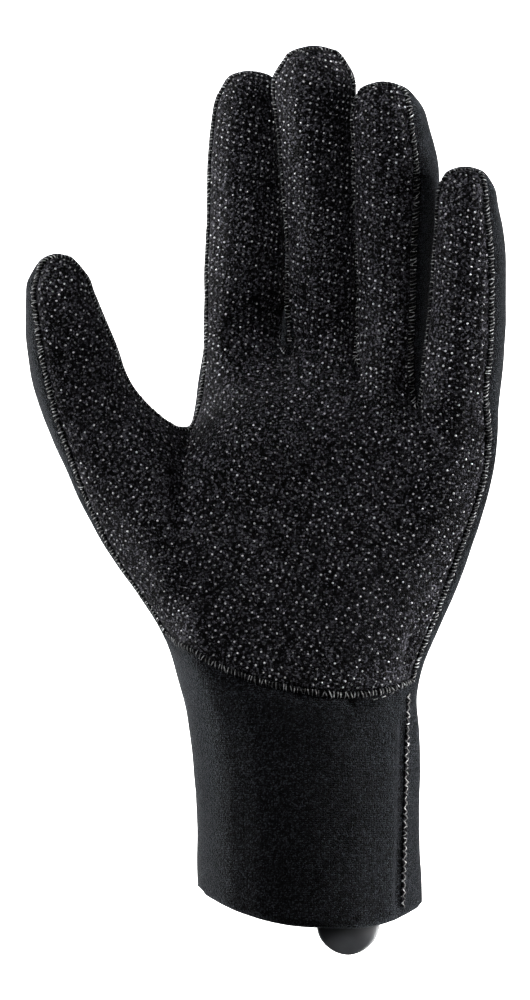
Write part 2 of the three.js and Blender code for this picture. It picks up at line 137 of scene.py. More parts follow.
# Sections across each finger, from its root to the last one below the dome that closes it. It bends forward
# by bend from root to tip, from the depth back at its root. The dome's rings lie at its dome angles, square
# is how full it is, and its seams turn to tip_seams. The angles are in degrees.
SECTION = ("x", "z", "wide", "deep", "lean", "left", "right")
FINGERS = {
    "index": {
        "back": 0.0085, "bend": 0.006, "tip": (-0.0180, 0.2557),
        "dome": (68, 45, 21), "square": 0.84, "tip_seams": (-64, 76),
        "rows": [
            (-0.0194, 0.1728, 0.0126, 0.0112, 0, -78, 78),
            (-0.0194, 0.1833, 0.0125, 0.011, 0, -78, 78),
            (-0.0195, 0.1953, 0.0124, 0.0108, 0, -78, 78),
            (-0.0194, 0.2079, 0.0121, 0.0106, 0, -78, 78),
            (-0.0196, 0.2205, 0.0115, 0.0102, 0, -78, 78),
            (-0.0198, 0.2319, 0.0108, 0.0098, 0, -78, 78),
            (-0.0197, 0.2415, 0.0102, 0.0092, 0, -76, 78),
        ],
    },
    "middle": {
        "back": 0.001, "bend": 0.0125, "tip": (0.0008, 0.2622),
        "dome": (68, 45, 21), "square": 0.93, "tip_seams": (-82, 82),
        "rows": [
            (0.0034, 0.1701, 0.0109, 0.0112, -10, -81, 78),
            (0.0034, 0.1814, 0.0108, 0.0112, -10, -81, 78),
            (0.0034, 0.196, 0.0109, 0.0112, -4, -81, 78),
            (0.0033, 0.2097, 0.0112, 0.0112, 0, -81, 78),
            (0.0027, 0.2229, 0.0115, 0.0112, 0, -81, 78),
            (0.0016, 0.2373, 0.0118, 0.011, 0, -81, 79),
            (0.0008, 0.2493, 0.0123, 0.0104, 0, -81, 80),
        ],
    },
    "ring": {
        "back": -0.0055, "bend": 0.013, "tip": (0.0214, 0.2511),
        "dome": (68, 45, 21), "square": 0.96, "tip_seams": (-84, 80),
        "rows": [
            (0.0243, 0.162, 0.0124, 0.0108, -30, -86, 30),
            (0.0246, 0.1736, 0.0124, 0.0108, -30, -86, 30),
            (0.025, 0.188, 0.0117, 0.0108, -17, -86, 30),
            (0.0251, 0.2025, 0.0122, 0.0108, -6, -86, 28),
            (0.0253, 0.2157, 0.0127, 0.0108, 0, -86, 28),
            (0.025, 0.2277, 0.0128, 0.0106, 0, -84, 30),
            (0.0235, 0.2379, 0.0117, 0.01, 0, -80, 34),
        ],
    },
    "little": {
        "back": -0.0155, "bend": 0.0085, "tip": (0.0456, 0.2259),
        "dome": (68, 45, 21), "square": 0.94, "tip_seams": (-76, 72),
        "rows": [
            (0.0439, 0.1564, 0.0124, 0.0104, 6, -80, 42),
            (0.0454, 0.1689, 0.0122, 0.0104, 6, -80, 40),
            (0.0465, 0.1827, 0.0117, 0.0103, 2, -80, 38),
            (0.047, 0.1959, 0.0112, 0.01, 0, -80, 37),
            (0.0469, 0.2061, 0.0104, 0.0096, 0, -79, 37),
            (0.0462, 0.2148, 0.0094, 0.009, 0, -77, 40),
        ],
    },
}
THUMB = {
    "back": -0.001, "bend": 0.014, "tip": (-0.0758, 0.2002),
    "dome": (66, 42, 20), "square": 1.16, "tip_seams": (-76, 92),
    "rows": [
        (-0.0497, 0.1281, 0.0229, 0.016, 71.7, -74, 84),
        (-0.058, 0.1392, 0.0183, 0.0144, 58, -66, 82),
        (-0.0646, 0.1509, 0.0152, 0.0132, 43.4, -55, 79),
        (-0.0699, 0.1642, 0.0139, 0.0122, 23.5, -45, 76),
        (-0.0729, 0.1775, 0.0124, 0.011, 4.8, -43, 77),
        (-0.0749, 0.1884, 0.0102, 0.0092, 0, -50, 80),
    ],
}

# Front crotch between each two fingers. The knuckle's back lies below it by a drop. The web's drop is
# negative, so the web lies above it.
CROTCHES = [(-0.0074, -0.001, 0.1719), (0.0138, -0.0065, 0.168), (0.0312, -0.014, 0.1554)]
WEB_DROP = -0.0015
KNUCKLE_DROP = 0.004

# Rows round the palm and cuff, down to the rim: both ends of the outline, how far the front and the back sag
# between them, the middle's depth, how far the little finger's side comes forward, the depth of the front
# and back, and where the columns start on a scale of -1 to 1 across.
ROW = ("left_x", "left_z", "right_x", "right_z", "dip", "rise", "y", "cup", "front", "back", "edge")
ROWS = {
    "knuckle": (-0.0332, 0.1605, 0.0552, 0.144, 0, 0, -0.002, 0.01, 0.0145, 0.0135, -0.99),
    "crotch": (-0.0356, 0.1486, 0.053, 0.131, -0.001, 0, -0.002, 0.008, 0.0155, 0.015, -0.99),
    "web": (-0.062, 0.13, 0.0483, 0.115, -0.002, 0, -0.002, 0.0045, 0.017, 0.017, -0.62),
    "heel": (-0.062, 0.11, 0.041, 0.095, -0.004, -0.002, -0.001, 0.0015, 0.0185, 0.018, -0.64),
    "wrist": (-0.0441, 0.0879, 0.0322, 0.0735, -0.01, -0.006, 0, 0, 0.02, 0.0205, -0.99),
    "cuff_top": (-0.0372, 0.064, 0.0322, 0.06, -0.002, -0.002, 0, 0, 0.0208, 0.021, -0.99),
    "cuff_middle": (-0.0343, 0.044, 0.0324, 0.042, -0.001, 0, 0, 0, 0.0216, 0.0218, -0.99),
    "cuff_low": (-0.0336, 0.024, 0.0326, 0.023, -0.002, 0, 0, 0, 0.0222, 0.0222, -0.99),
    "rim": (-0.0333, 0.009, 0.0332, 0.0054, -0.0078, -0.001, 0, 0, 0.0226, 0.0226, -0.99),
}
THUMB_TOP = "crotch"
THUMB_MIDDLE = ("web", "heel")
THUMB_BOTTOM = "wrist"
PALM_END = "wrist"
CUFF_ROWS = ("cuff_top", "cuff_middle", "cuff_low", "rim")
# How square the rows are, and the least of the back's depth at their sides.
PALM_SQUARE = 2.5
CUFF_SQUARE = 2.2
SIDE_BACK = 0.3
# Columns of the front from its edge to FRONT_END, each with two more up to the next, and of the back.
FRONT_END = 0.95
SEAM_COLUMNS = (0, 0.273, 0.531, 0.737, 1)
BACK_END = 0.8
BACK_EDGE = 0.83
BACK_COLUMNS = (0, 0.235, 0.475, 0.753, 1)
# Places in a row of the front's middle and of the two sides.
FRONT_MIDDLE = 6
RIGHT_SIDE = 13
LEFT_SIDE = 19

# Soft shapes on the front: the pads below the fingers, the ball of the thumb, and the hollows between them.
# Each is a round swelling, or a hollow that sinks straight back where its height is negative. They fade
# where the cloth turns away from the front.
FADE = 2
SWELLING = ("x", "z", "reach_x", "reach_z", "height")
SWELLINGS = [
    (-0.0178, 0.1420, 0.0130, 0.0130, 0.0098),
    (0.004, 0.150, 0.012, 0.010, 0.0014),
    (0.024, 0.141, 0.010, 0.010, 0.0012),
    (0.042, 0.130, 0.010, 0.016, 0.0012),
    (-0.036, 0.134, 0.009, 0.0085, 0.0042),
    (-0.038, 0.112, 0.020, 0.018, 0.0016),
    (-0.005, 0.116, 0.016, 0.018, -0.0016),
    (-0.0085, 0.1755, 0.0185, 0.0130, -0.0080),
    (-0.010, 0.085, 0.020, 0.010, -0.0008),
]
# Creases on the front: depth, half width, and the route by x and z.
CREASES = [
    (0.0014, 0.0009, [(-0.0364, 0.1490), (-0.0362, 0.1425)]),
    (0.0018, 0.0016, [(0.0305, 0.0850), (0.0284, 0.0770)]),
    (0.0009, 0.0009, [(0.0272, 0.0600), (0.0258, 0.0060)]),
    (0.0009, 0.0014, [(-0.0210, 0.0732), (-0.0030, 0.0683), (0.0117, 0.0670), (0.0240, 0.0678)]),
    (0.0010, 0.0013, [(-0.0074, 0.1730), (-0.0068, 0.1670)]),
    (0.0010, 0.0013, [(0.0138, 0.1690), (0.0142, 0.1630)]),
    (0.0010, 0.0013, [(0.0312, 0.1560), (0.0316, 0.1500)]),
]
# Gentle waves all over the cloth: how many to a metre, and the part each takes of their height.
WAVES = ((55, 1), (120, 0.5))
WAVE_HEIGHT = 0.00035

# The rim turns up at both its ends, from x outwards over a reach, and hangs a little lower by the side seam
# and at the pull tab.
RIM_REACH = 0.03
RIM_CORNERS = [(-1, -0.0312, 0.0026, 0.0027), (1, 0.0316, 0.0018, 0.0014)]
# Each hang is at an x, with its depth and its reach.
RIM_HANGS = [(0.0282, 0.0011, 0.006), (0.0187, 0.0010, 0.0075)]

# Pull tab inside the front wall. Its sides are straight for a part of its length, then it is round. It thins
# towards its edges and leans forward below the rim.
TAB_MIDDLE = 0.0110
TAB_HALF_WIDTH = 0.0094
TAB_TOP = 0.0118
TAB_BELOW_RIM = 0.0087
TAB_THICK = 0.0016
TAB_LEAN = 0.0045
TAB_CLEAR = 0.0022
TAB_STRAIGHT = 0.45
TAB_ROUND = 1.1
TAB_END = 0.995
TAB_SIDE_SQUARE = 6
TAB_END_REACH = 0.0022
TAB_END_LEAST = 0.02
TAB_THINNEST = 0.12
TAB_ACROSS = 36
TAB_ALONG = 44

# Cloths: darkest and lightest colour, sheen, ribs and loops to a metre, and contrast from loop to loop.
CLOTH = ("dark", "light", "sheen", "ribs", "loops", "contrast")
CLOTHS = {
    "grip_cloth": ((0.00002, 0.00002, 0.00003), (0.094, 0.092, 0.109), 0.0, 560, 1950.0, 4.2),
    "neoprene": ((0.00005, 0.00005, 0.0001), (0.034, 0.037, 0.044), 0.12, 620, 2600.0, 3.2),
    "seam_cloth": ((0.0001, 0.0001, 0.0001), (0.040, 0.040, 0.046), 0.0, 620, 2050.0, 4.0),
}
# KNIT_TONE and KNIT_LIFT are the knit's share of a loop's tone and height. LEAST_TONE is added to the knit's
# tone and to the cloud's, so that neither blackens the cloth.
KNIT_ROUGH = {"Distortion": 5.0, "Detail": 2.0, "Detail_Scale": 3.0}
KNIT_SQUASH = 0.85
KNIT_TONE = 0.8
KNIT_LIFT = 0.4
LEAST_TONE = 0.5
# Darkest and lightest colour of the threads, dots and rubber.
# The threads' lightest colours are painted glints on a few strands of dark thread.
THREADS = {
    "thread": ((0.002, 0.0022, 0.0025), (0.72, 0.74, 0.76)),
    "light_thread": ((0.02, 0.02, 0.021), (0.9, 0.9, 0.9)),
}
THREAD_CONTRAST = 3.0
DOT_COLOURS = ((0.02, 0.02, 0.021), (0.48, 0.48, 0.50))
DOT_CONTRAST = 1.8
TAB_COLOURS = ((0.002, 0.002, 0.0023), (0.046, 0.048, 0.053))
# Painted shade: the tab's tone is darkened where it comes out of the cuff, standing for the shadow that the
# rim casts on it. Heights, and the part of its tone at each.
TAB_PAINTED_SHADE = {"From_Min": 0.0008, "From_Max": -0.0042, "To_Min": 0.08, "To_Max": 1.1}

# Blanks that the two panels are cut from.
PALM_CUT = (0.15, 0.2)
BACK_CUT = (0.24, 0.27)

# Where the camera stands: the photograph's frame is FRAME_HEIGHT high at the glove's middle.
FRAME_HEIGHT = 0.3
FRAME_MIDDLE = (-0.0138, 0.1269)
CAMERA_AWAY = 3.0
CAMERA_REACH = 50
SENSOR = 36
FLOOR_DROP = 1.34
FLOOR_HALF_SIZE = 12.0
FLOOR_SWEEP = 3.0
FLOOR_SWEEP_STEPS = 16
FLOOR_COLOUR = (0.93, 0.93, 0.93, 1)

# Soft lamps at LIGHT_AWAY from their aim: turn from straight ahead towards the little finger's side and rise
# in degrees, height of the aim, size, power in watts, spread.
LIGHT_AWAY = 1.3
LIGHTS = {
    "left": (-82, 4, 0.14, (0.4, 0.4), 1.2, 60),
    "upper left": (-74, 34, 0.16, (0.4, 0.4), 1.0, 60),
    "left rim": (-112, 10, 0.12, (0.4, 0.5), 6.0, 60),
    "right rim": (100, -12, 0.12, (0.4, 0.5), 5.5, 60),
    "right": (82, 10, 0.10, (0.4, 0.4), 2.1, 60),
    "low right": (92, 4, 0.03, (0.3, 0.3), 0.6, 16),
    "front": (-20, 42, 0.22, (0.2, 0.2), 0.17, 14),
}
# One more lamp above and behind the glove lights only the floor's sweep.
BACKDROP_PLACE = (0, 2.6, 4.27)
BACKDROP_AIM = (0, 7.8, -0.13)
BACKDROP = ((4.0, 2.0), 1040, 120)
WORLD_LIGHT = 0.022


def named(columns, values):
    return dict(zip(columns, values))


class Surface:
    """Four-sided faces, each with its panel, its patch of the pattern and its places in the flat cloth."""

    def __init__(self):
        self.points, self.faces, self.panels, self.patches, self.flats = [], [], [], [], []

    def add_point(self, point):
        self.points.append(point)
        return len(self.points) - 1

    def add_face(self, panel, patch, corners, flats):
        self.faces.append(corners)
        self.panels.append(panel)
        self.patches.append(patch)
        self.flats.append(flats)

    def as_arrays(self):
        for name, values in vars(self).items():
            setattr(self, name, np.array(values))


cage = Surface()


def section_axes(lean, tilt):
    """Across the finger, towards its palm side, and along it."""
    ahead = np.array((0, -1, 0))
    up = np.array((-sin(lean), 0, cos(lean)))
    across = np.array((cos(lean), 0, sin(lean)))
    return across, ahead * cos(tilt) - up * sin(tilt), ahead * sin(tilt) + up * cos(tilt)


def bend_at(finger, part, length):
    """Depth of the finger's middle at a part of its length, and how far it tilts forward there."""
    return finger["back"] - finger["bend"] * part ** 2, atan(2 * finger["bend"] * part / length)


def line_angles(row, back_lines):
    """Angles of the lengthwise lines, from the front's middle towards the right."""
    palm = [row["left"] + part * (row["right"] - row["left"]) for part in PALM_LINES]
    back = [row["right"] + part * (row["left"] + 360 - row["right"]) for part in back_lines]
    return [radians(a) for a in (*palm, row["right"], *back, row["left"] + 360)]


def section_ring(finger, row, part, length, back_lines):
    y, tilt = bend_at(finger, part, length)
    across, front, _ = section_axes(radians(row["lean"]), tilt)
    middle = np.array((row["x"], y, row["z"]))
    angles = line_angles(row, back_lines)
    return [middle + across * row["wide"] * sin(a) + front * row["deep"] * cos(a) for a in angles]


def section_flats(row, back_lines):
    """Places of a ring's lines in the flat cloth. The last line comes first too, from its other side."""
    angles = line_angles(row, back_lines)
    lean = radians(row["lean"])
    out = [row["wide"] * a for a in (angles[-1] - 2 * pi, *angles)]
    return [np.array((row["x"] + cos(lean) * u, row["z"] + sin(lean) * u)) for u in out]


def dome_ring(finger, length, back_lines, number):
    """A ring on the dome that closes the finger, and its places in the flat cloth. The seams turn there."""
    row = named(SECTION, finger["rows"][-1])
    y, tilt = bend_at(finger, 1, length)
    height = (finger["tip"][1] - row["z"]) / cos(tilt)
    across, ahead, along = section_axes(radians(row["lean"]), tilt)
    part = ((number + 1) / len(finger["dome"])) ** 2
    left_tip, right_tip = finger["tip_seams"]
    left = row["left"] + (left_tip - row["left"]) * part
    right = row["right"] + (right_tip - row["right"]) * part
    dome = radians(finger["dome"][number])
    rise, reach = cos(dome) ** finger["square"], sin(dome) ** finger["square"]
    middle = np.array((row["x"] + (finger["tip"][0] - row["x"]) * rise, y, row["z"]))
    spread = DOME_SPREAD + (1 - DOME_SPREAD) * sin(dome)
    ring, flats = [], []
    for a in line_angles({"left": left, "right": right}, back_lines):
        side, front = row["wide"] * sin(a) * reach, row["deep"] * cos(a) * reach
        ring.append(middle + across * side + ahead * front + along * height * rise)
        wrapped = a - 2 * pi if a > pi else a
        place = (row["x"] + row["wide"] * wrapped * spread, row["z"] + height * (pi / 2 - dome))
        flats.append(np.array(place))
    return ring, flats


def skin_finger(finger, patch, root, back_lines, first_row):
    """Skins a finger or the thumb from the points of its root to its closed tip."""
    rows = [named(SECTION, values) for values in finger["rows"]]
    length = hypot(finger["tip"][0] - rows[0]["x"], finger["tip"][1] - rows[0]["z"])
    rings, flats = [root], [section_flats(rows[0], back_lines)]
    if first_row == 0:
        places = [np.array((cage.points[i][0], cage.points[i][2])) for i in root]
        flats = [[places[-1], *places]]
    sections = rows[first_row:]
    for i, row in enumerate(sections):
        ring = section_ring(finger, row, (i + 1) / len(sections), length, back_lines)
        rings.append([cage.add_point(p) for p in ring])
        flats.append(section_flats(row, back_lines))
    for number in range(len(finger["dome"])):
        ring, places = dome_ring(finger, length, back_lines, number)
        rings.append([cage.add_point(p) for p in ring])
        flats.append([places[-1], *places])
    count = len(root)
    for low, high, low_flats, high_flats in zip(rings, rings[1:], flats, flats[1:]):
        for j in range(count):
            k = (j + 1) % count
            panel = "palm" if j in (count - 1, 0, 1) else "back"
            places = (low_flats[k], low_flats[k + 1], high_flats[k + 1], high_flats[k])
            cage.add_face(panel, patch, (low[j], low[k], high[k], high[j]), places)
    for step in range(count // 2 - 1):
        lines = [-step % count, step + 1, step + 2, (-step - 1) % count]
        panel = "palm" if step == 0 else "back"
        corners, places = zip(*((rings[-1][i], flats[-1][i + 1]) for i in lines))
        cage.add_face(panel, patch, corners, places)


def row_point(row, across, side, roundness):
    """One point of a palm or cuff row. side is -1 on the front, 1 on the back and 0 between them."""
    middle, half = (row["left_x"] + row["right_x"]) / 2, (row["right_x"] - row["left_x"]) / 2
    square = min(abs(across), 1) ** roundness
    bulge = (1 - square) ** (1 / roundness)
    depth = row["front"] * bulge if side < 0 else row["back"] * max(bulge, SIDE_BACK)
    sag = (row["dip"] if side < 0 else row["rise"]) * (1 - square)
    z = row["left_z"] + (row["right_z"] - row["left_z"]) * (across + 1) / 2 + sag
    return np.array((middle + half * across, row["y"] - row["cup"] * across + np.sign(side) * depth, z))


def front_columns(edge):
    """Places across the front: the four fingers' columns, each in three."""
    seams = [edge + (FRONT_END - edge) * part for part in SEAM_COLUMNS]
    columns = []
    for a, b in zip(seams, seams[1:]):
        columns += [a, a + (b - a) / 3, a + (b - a) * 2 / 3]
    return [*columns, seams[-1]]


def palm_row(row, roundness):
    """Points of one row, along the front to the right side and along the back to the left side."""
    front = [row_point(row, across, -1, roundness) for across in front_columns(row["edge"])]
    back_edge = row["edge"] * BACK_EDGE
    back = [row_point(row, BACK_END + (back_edge - BACK_END) * part, 1, roundness) for part in BACK_COLUMNS]
    points = [*front, row_point(row, 1, 0, roundness), *back, row_point(row, -1, 1, roundness)]
    return [cage.add_point(p) for p in points]


def add_roots():
    """The fingers' roots side by side: neighbours share the crotch, the web and the knuckle's back."""
    rings = []
    for finger in FINGERS.values():
        row = named(SECTION, finger["rows"][0])
        rings.append(section_ring(finger, row, 0, finger["tip"][1] - row["z"], FINGER_BACK_LINES))
    put = cage.add_point
    sides = [{"front": put(rings[0][7]), "web": put(rings[0][6]), "back": put(rings[0][5])}]
    for i, crotch in enumerate(CROTCHES):
        web = (rings[i][3] + rings[i + 1][6]) / 2
        back = (rings[i][4] + rings[i + 1][5]) / 2
        web[2], back[2] = crotch[2] - WEB_DROP, crotch[2] - KNUCKLE_DROP
        sides.append({"front": put(np.array(crotch)), "web": put(web), "back": put(back)})
    sides.append({"front": put(rings[3][2]), "web": put(rings[3][3]), "back": put(rings[3][4])})
    roots = []
    for ring, left, right in zip(rings, sides, sides[1:]):
        right_side = [right[part] for part in ("front", "web", "back")]
        left_side = [left[part] for part in ("back", "web", "front")]
        roots.append([put(ring[0]), put(ring[1]), *right_side, *left_side])
    front = [i for root in roots for i in (root[7], root[0], root[1])]
    backs = [side["back"] for side in reversed(sides)]
    return roots, [*front, sides[-1]["front"], sides[-1]["web"], *backs, sides[0]["web"]]


def loop_flats(loop):
    """Places of a row's points in the flat cloth: the way along the row from its middle, and the height."""
    points = [cage.points[i] for i in (*loop, loop[0])]
    ways = [0]
    for a, b in zip(points, points[1:]):
        ways.append(ways[-1] + hypot(b[0] - a[0], b[1] - a[1]))
    start = points[FRONT_MIDDLE][0] - ways[FRONT_MIDDLE]
    return [np.array((start + way, p[2])) for way, p in zip(ways, points)]


def skin_palm(loop):
    """Skins the palm and the cuff down from the fingers' roots, and leaves the thumb's opening."""
    rows = {"roots": loop}
    for name, values in ROWS.items():
        rows[name] = palm_row(named(ROW, values), CUFF_SQUARE if name in CUFF_ROWS else PALM_SQUARE)
    order = list(rows)
    flats = {name: loop_flats(rows[name]) for name in order}
    hole = (THUMB_TOP, *THUMB_MIDDLE)
    for upper, lower in zip(order, order[1:]):
        in_palm = order.index(PALM_END) >= order.index(lower)
        a, b = rows[upper], rows[lower]
        for j in range(len(a)):
            k = (j + 1) % len(a)
            if upper in hole and LEFT_SIDE in (j, k):
                continue
            panel = "palm" if in_palm and 0 < k < RIGHT_SIDE and j < RIGHT_SIDE else "back"
            places = (flats[lower][j], flats[lower][j + 1], flats[upper][j + 1], flats[upper][j])
            cage.add_face(panel, "palm", (b[j], b[k], a[k], a[j]), places)
    return rows


def thumb_root(rows):
    """The points round the thumb's opening."""
    top, bottom = rows[THUMB_TOP], rows[THUMB_BOTTOM]
    upper, lower = (rows[name] for name in THUMB_MIDDLE)
    back = LEFT_SIDE - 1
    front = [lower[0], upper[0], top[0], top[LEFT_SIDE], top[back]]
    return [*front, upper[back], lower[back], bottom[back], bottom[LEFT_SIDE], bottom[0]]


def drop_unused(surface):
    """Leaves out the points that no face uses."""
    used, places = np.unique(surface.faces, return_inverse=True)
    surface.points = surface.points[used]
    surface.faces = places.reshape(-1, 4)


def unit(vectors):
    return vectors / np.maximum(np.linalg.norm(vectors, axis=1), TINY)[:, None]


def ways_along(points):
    """How far along a line each of its points lies."""
    return np.concatenate([[0], np.cumsum(np.linalg.norm(np.diff(points, axis=0), axis=1))])


def tree_of(points):
    """A tree that finds the nearest of some points."""
    tree = kdtree.KDTree(len(points))
    for i, point in enumerate(points):
        tree.insert(Vector(point), i)
    tree.balance()
    return tree


def edges_of(faces):
    """Edges by their two corners, the edge that follows each corner of each face, and faces at each edge."""
    pairs = np.sort(np.stack([faces, np.roll(faces, -1, axis=1)], axis=2).reshape(-1, 2), axis=1)
    edges, which, counts = np.unique(pairs, axis=0, return_inverse=True, return_counts=True)
    return edges, which.reshape(-1, 4), counts


def neighbour_sums(points, faces, edges, counts):
    """For each point: the sum and number of its neighbours along edges, across faces, and along the rim."""
    near, across, rim = (np.zeros_like(points) for _ in range(3))
    number = np.zeros(len(points))
    on_rim = np.zeros(len(points), bool)
    for a, b in (edges.T, edges.T[::-1]):
        np.add.at(near, a, points[b])
        np.add.at(number, a, 1)
        open_edge = counts == 1
        np.add.at(rim, a[open_edge], points[b[open_edge]])
        on_rim[a[open_edge]] = True
    for i in range(4):
        np.add.at(across, faces[:, i], points[faces[:, (i + 2) % 4]])
    return near, across, rim, number[:, None], on_rim


def limit_points(surface, edges, counts):
    """Where the smooth surface passes for each point of the cage."""
    p = surface.points
    near, across, rim, n, on_rim = neighbour_sums(p, surface.faces, edges, counts)
    limit = (4 * near + across + n * n * p) / (n * (n + 5))
    limit[on_rim] = (rim + 4 * p)[on_rim] / 6
    return limit


def fit_cage(surface):
    """Moves the cage so that the smooth surface passes through its first points."""
    wanted = surface.points.copy()
    edges, _, counts = edges_of(surface.faces)
    for _ in range(FIT_ROUNDS):
        surface.points = surface.points + wanted - limit_points(surface, edges, counts)


def subdivide(surface):
    """One step of Catmull and Clark's subdivision."""
    p, faces = surface.points, surface.faces
    edges, which, counts = edges_of(faces)
    near, across, rim, n, on_rim = neighbour_sums(p, faces, edges, counts)
    moved = (1.5 / n * near + 0.25 / n * across + (n - 1.75) * p) / n
    moved[on_rim] = (rim + 6 * p)[on_rim] / 8
    centres = p[faces].mean(axis=1)
    middles = p[edges].sum(axis=1)
    beside = np.zeros_like(middles)
    np.add.at(beside, which.ravel(), np.repeat(centres, 4, axis=0))
    inner = (counts == 2)[:, None]
    middles = np.where(inner, (middles + beside) / 4, middles / 2)
    fine = Surface()
    fine.points = np.concatenate([moved, centres, middles])
    centre = len(p) + np.arange(len(faces))
    edge = len(p) + len(faces) + which
    flats, flat_centre = surface.flats, surface.flats.mean(axis=1)
    new_faces, new_flats = [], []
    for i in range(4):
        before, after = (i + 3) % 4, (i + 1) % 4
        new_faces.append(np.stack([faces[:, i], edge[:, i], centre, edge[:, before]], axis=1))
        next_middle = (flats[:, i] + flats[:, after]) / 2
        last_middle = (flats[:, i] + flats[:, before]) / 2
        new_flats.append(np.stack([flats[:, i], next_middle, flat_centre, last_middle], axis=1))
    fine.faces = np.concatenate(new_faces)
    fine.flats = np.concatenate(new_flats)
    fine.panels = np.tile(surface.panels, 4)
    fine.patches = np.tile(surface.patches, 4)
    return fine


def normals_of(surface):
    """Which way is outwards at each point. In the valley between two fingers that is straight up."""
    a, b, c, d = (surface.points[surface.faces[:, i]] for i in range(4))
    normal = np.cross(c - a, d - b)
    total = np.zeros_like(surface.points)
    area = np.zeros(len(surface.points))
    for i in range(4):
        np.add.at(total, surface.faces[:, i], normal)
        np.add.at(area, surface.faces[:, i], np.linalg.norm(normal, axis=1))
    out = unit(total)
    out[np.linalg.norm(total, axis=1) < VALLEY * area] = (0, 0, 1)
    return out


def seam_loop(surface):
    """The points of the seam between the two panels, in order."""
    edges, which, counts = edges_of(surface.faces)
    on_palm = np.zeros(len(edges), int)
    np.add.at(on_palm, which[surface.panels == "palm"].ravel(), 1)
    seam = edges[(on_palm == 1) & (counts == 2)]
    beside = {}
    for a, b in seam:
        beside.setdefault(a, []).append(b)
        beside.setdefault(b, []).append(a)
    start = seam[0][0]
    loop, last, here = [start], start, beside[start][0]
    while here != start:
        loop.append(here)
        step = beside[here]
        last, here = here, step[0] if step[0] != last else step[1]
    return loop


def shape_details(surface, loop):
    """Pads, hollows, creases, gentle waves in the cloth, and the pinch beside every seam."""
    p = surface.points
    normals = normals_of(surface)
    facing = np.clip(-normals[:, 1] * FADE, 0, 1)
    move, sink = np.zeros(len(p)), np.zeros(len(p))
    for values in SWELLINGS:
        s = named(SWELLING, values)
        far = ((p[:, 0] - s["x"]) / s["reach_x"]) ** 2 + ((p[:, 2] - s["z"]) / s["reach_z"]) ** 2
        height = s["height"] * np.exp(-far) * facing
        move += np.maximum(height, 0)
        sink -= np.minimum(height, 0)
    for depth, reach, route in CREASES:
        for start, end in zip(np.array(route), np.array(route[1:])):
            way, flat = end - start, p[:, [0, 2]] - start
            part = np.clip(flat @ way / (way @ way), 0, 1)
            far = np.linalg.norm(flat - part[:, None] * way, axis=1)
            move -= depth * np.exp(-(far / reach) ** 2) * facing
    wave = [sum(part * noise.noise(Vector(q) * scale) for scale, part in WAVES) for q in p]
    move += WAVE_HEIGHT * np.array(wave)
    tree = tree_of(p[loop])
    far = np.array([tree.find(Vector(q))[2] for q in p]) / SEAM_PINCH_REACH
    move += SEAM_PINCH * (SEAM_SHOULDER * far ** 2 * np.exp(-far ** 2 / 2) - np.exp(-far ** 2))
    surface.points = p + normals * move[:, None] + np.outer(sink, (0, 1, 0))


def shape_rim(surface):
    """The cuff's edge turns up at both its ends and hangs lower by the side seam and at the pull tab."""
    p = surface.points
    near = np.clip(1 - p[:, 2] / RIM_REACH, 0, 1) ** 2
    for x, hang, reach in RIM_HANGS:
        p[:, 2] -= near * hang * np.exp(-((p[:, 0] - x) / reach) ** 2) * (p[:, 1] < 0)
    for side, start, reach, turn in RIM_CORNERS:
        part = np.clip(side * (p[:, 0] - start) / reach, 0, 1)
        p[:, 2] += near * turn * part * part * (3 - 2 * part)


def make_object(name, points, faces, flats=None):
    """A smooth mesh object. flats are the places of its faces' corners in the flat cloth."""
    mesh = bpy.data.meshes.new(name)
    mesh.from_pydata(np.asarray(points).tolist(), [], faces if flats is None else faces.tolist())
    mesh.validate()
    mesh.shade_smooth()
    if flats is not None:
        layer = mesh.uv_layers.new(name="flat")
        layer.data.foreach_set("uv", np.asarray(flats, np.float32).ravel())
    made = bpy.data.objects.new(name, mesh)
    bpy.context.scene.collection.objects.link(made)
    return made


def panel_wall(surface, normals, panel):
    """A closed wall of one panel: outside, inside and the edge between them, rounded by a middle row."""
    mine = surface.panels == panel
    faces, flats = surface.faces[mine], surface.flats[mine]
    used, places = np.unique(faces, return_inverse=True)
    faces = places.reshape(-1, 4)
    edges, which, counts = edges_of(faces)
    outside, out = surface.points[used].copy(), normals[used]
    open_edges, sides = [], []
    for f, i in np.argwhere(counts[which] == 1):
        a, b = faces[f, i], faces[f, (i + 1) % 4]
        open_edges.append((a, b))
        sides.append((flats[f, i], flats[f, (i + 1) % 4]))
    inward = np.zeros_like(outside)
    for a, b in open_edges:
        along = outside[b] - outside[a]
        for i in (a, b):
            way = np.cross(out[i], along)
            inward[i] += way / max(np.linalg.norm(way), TINY)
    inward = unit(inward)
    outside += inward * PANEL_GAP / 2
    inside = outside - out * WALL
    n = len(used)
    rim = sorted({i for edge in open_edges for i in edge})
    rim_place = {i: 2 * n + at for at, i in enumerate(rim)}
    middle = (outside[rim] + inside[rim]) / 2
    for face in (outside, inside):
        face[rim] += inward[rim] * EDGE_ROUND
    points = np.concatenate([outside, inside, middle])
    all_faces = [*faces, *(faces[:, ::-1] + n)]
    all_flats = [*flats, *flats[:, ::-1]]
    for (a, b), (flat_a, flat_b) in zip(open_edges, sides):
        all_faces.append(np.array((b, a, rim_place[a], rim_place[b])))
        all_faces.append(np.array((rim_place[b], rim_place[a], a + n, b + n)))
        all_flats += [np.array((flat_b, flat_a, flat_a, flat_b))] * 2
    return points, np.array(all_faces), np.array(all_flats)


def resample(points, ups, spacing):
    """Even steps round a closed line, with the outward direction at each."""
    points, ups = np.vstack([points, points[:1]]), np.vstack([ups, ups[:1]])
    way = ways_along(points)
    at = np.linspace(0, way[-1], round(way[-1] / spacing) + 1)[:-1]
    return [np.stack([np.interp(at, way, v[:, i]) for i in range(3)], axis=1) for v in (points, ups)]


